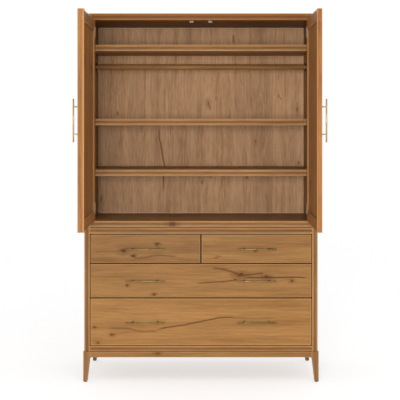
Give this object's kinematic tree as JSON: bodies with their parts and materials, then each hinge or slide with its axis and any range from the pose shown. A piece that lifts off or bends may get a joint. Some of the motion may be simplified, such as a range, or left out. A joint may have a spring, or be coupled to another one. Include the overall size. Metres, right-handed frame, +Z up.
{
  "type": "armoire",
  "caption": "Tall oak armoire: an open hanging cabinet with shelves, a rail and a pair of inset doors, standing on a chest of drawers with bar handles and short tapered legs.",
  "frame": {"origin": "middle of the floor under the bounding box of the armoire with its doors standing open; the carcase's front plane is at Y = +0.0495", "axes": "+Z up; the doors and drawers face -Y; +X to the right as seen from the front"},
  "size_m": [1.27, 1.105, 1.9885],
  "materials": {
    "oak_frame": "satin oiled oak",
    "oak_doors": "satin oiled oak",
    "oak_fronts": "satin oiled oak with knots",
    "oak_planks": "matt grey-brown oak planks",
    "inner_wood": "matt lacquered wood",
    "brass": "brushed antique brass",
    "steel": "nickel-plated steel",
    "dark_metal": "dark bronze",
    "black_felt": "felt"
  },
  "bodies": {
    "carcase": {"base_rails": "oak_frame", "leg_front_left": "oak_frame", "leg_front_right": "oak_frame", "leg_back_left": "oak_frame", "leg_back_right": "oak_frame", "leg_glides": "black_felt", "chest_side_left": "oak_frame", "chest_side_right": "oak_frame", "chest_top": "oak_frame", "chest_bottom": "oak_frame", "chest_back": "oak_planks", "chest_divider": "inner_wood", "chest_cross_rails": "inner_wood", "slide_channels": "steel", "cabinet_side_left": "oak_frame", "cabinet_side_right": "oak_frame", "cabinet_top": "oak_frame", "cabinet_floor": "oak_frame", "cabinet_back": "oak_planks", "shelf_upper": "oak_frame", "shelf_middle": "oak_frame", "shelf_lower": "oak_frame", "shelf_pins": "steel", "hanging_rail": "oak_frame", "rail_sockets": "dark_metal", "door_catches": "steel", "hinge_frame_leaves": "steel", "hinge_pins": "steel", "cabinet_bolts": "dark_metal"},
    "door_left": {"door_left_stiles": "oak_doors", "door_left_rails": "oak_doors", "door_left_panel": "oak_doors", "door_left_closing_strip": "oak_doors", "door_left_handle": "brass", "door_left_strike": "steel", "door_left_hinge_leaves": "steel"},
    "door_right": {"door_right_stiles": "oak_doors", "door_right_rails": "oak_doors", "door_right_panel": "oak_doors", "door_right_handle": "brass", "door_right_strike": "steel", "door_right_hinge_leaves": "steel"},
    "drawer_top_left": {"drawer_top_left_front": "oak_fronts", "drawer_top_left_box": "inner_wood", "drawer_top_left_handle": "brass", "drawer_top_left_slides": "steel"},
    "drawer_top_right": {"drawer_top_right_front": "oak_fronts", "drawer_top_right_box": "inner_wood", "drawer_top_right_handle": "brass", "drawer_top_right_slides": "steel"},
    "drawer_middle": {"drawer_middle_front": "oak_fronts", "drawer_middle_box": "inner_wood", "drawer_middle_handles": "brass", "drawer_middle_slides": "steel"},
    "drawer_bottom": {"drawer_bottom_front": "oak_fronts", "drawer_bottom_box": "inner_wood", "drawer_bottom_handles": "brass", "drawer_bottom_slides": "steel"}
  },
  "joints": [
    {"name": "door_left_hinge", "type": "hinge", "parent": "carcase", "child": "door_left", "pos_m": [-0.599, 0.045, 1.41025], "axis": [0, 0, -1], "range_deg": [-90, 90]},
    {"name": "door_right_hinge", "type": "hinge", "parent": "carcase", "child": "door_right", "pos_m": [0.599, 0.045, 1.41025], "axis": [0, 0, 1], "range_deg": [-89, 91]},
    {"name": "drawer_top_left_slide", "type": "slide", "parent": "carcase", "child": "drawer_top_left", "axis": [0, -1, 0], "range_m": [0, 0.34]},
    {"name": "drawer_top_right_slide", "type": "slide", "parent": "carcase", "child": "drawer_top_right", "axis": [0, -1, 0], "range_m": [0, 0.34]},
    {"name": "drawer_middle_slide", "type": "slide", "parent": "carcase", "child": "drawer_middle", "axis": [0, -1, 0], "range_m": [0, 0.34]},
    {"name": "drawer_bottom_slide", "type": "slide", "parent": "carcase", "child": "drawer_bottom", "axis": [0, -1, 0], "range_m": [0, 0.34]}
  ]
}
